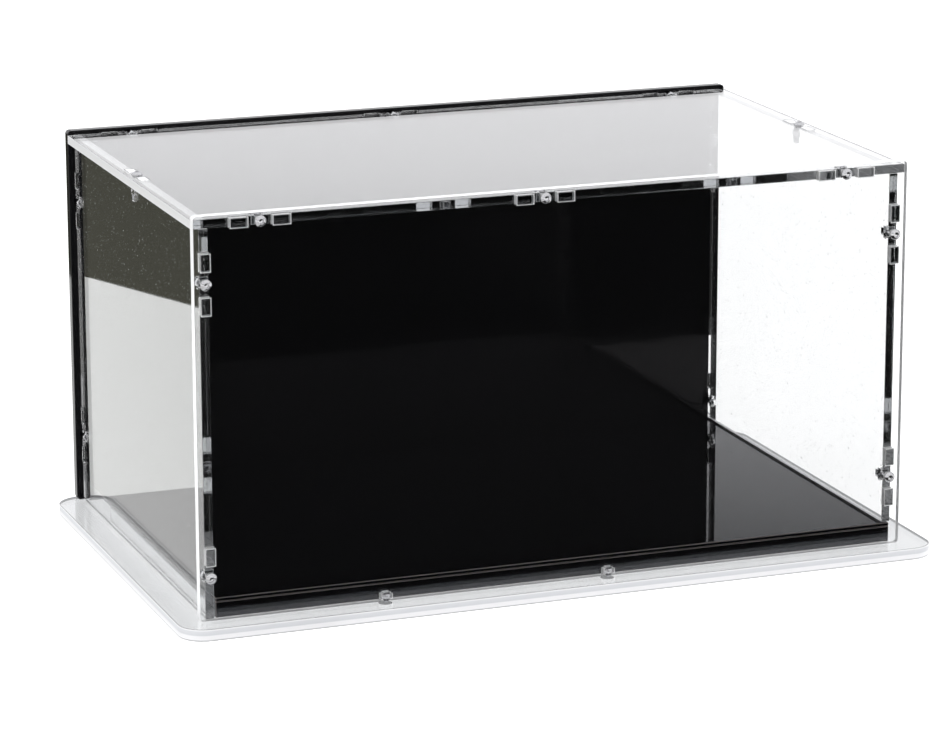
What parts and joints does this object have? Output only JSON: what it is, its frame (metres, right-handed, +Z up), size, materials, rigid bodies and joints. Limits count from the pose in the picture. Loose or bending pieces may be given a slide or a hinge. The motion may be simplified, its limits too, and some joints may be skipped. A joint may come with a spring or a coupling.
{
  "type": "collectible display case",
  "caption": "Clear flat-pack display case with a black back panel and black riser: slotted sheet panels screwed into one lift-off cover on a wide base plate.",
  "frame": {"origin": "centre of the base plate's underside, where the case rests", "axes": "+X along the width, to the right as seen from the front; +Y towards the black back panel; +Z up"},
  "size_m": [0.3956, 0.242, 0.203],
  "materials": {
    "clear": "clear polished acrylic",
    "base_clear": "clear polished acrylic",
    "rail_clear": "clear acrylic, sawn ends",
    "black_gloss": "black gloss acrylic",
    "screw_steel": "bright nickel plate",
    "nut_steel": "bright zinc plate"
  },
  "bodies": {
    "base": {"base_plate": "base_clear", "riser_top": "black_gloss", "riser_front_skirt": "black_gloss", "riser_back_skirt": "black_gloss", "riser_left_rail": "rail_clear", "riser_right_rail": "rail_clear", "base_front_screws": "screw_steel", "base_back_screws": "screw_steel"},
    "cover": {"front_panel": "clear", "left_panel": "clear", "right_panel": "clear", "top_panel": "clear", "back_panel": "black_gloss", "front_top_screws": "screw_steel", "front_left_screws": "screw_steel", "front_right_screws": "screw_steel", "back_top_screws": "screw_steel", "back_left_screws": "screw_steel", "back_right_screws": "screw_steel", "top_left_screw": "screw_steel", "top_right_screw": "screw_steel", "front_top_nuts": "nut_steel", "front_left_nuts": "nut_steel", "front_right_nuts": "nut_steel", "back_top_nuts": "nut_steel", "back_left_nuts": "nut_steel", "back_right_nuts": "nut_steel", "base_front_nuts": "nut_steel", "base_back_nuts": "nut_steel", "top_left_nut": "nut_steel", "top_right_nut": "nut_steel"}
  },
  "joints": [
    {"name": "cover_lift", "type": "slide", "parent": "base", "child": "cover", "axis": [0, 0, 1], "range_m": [0, 0.25]}
  ]
}
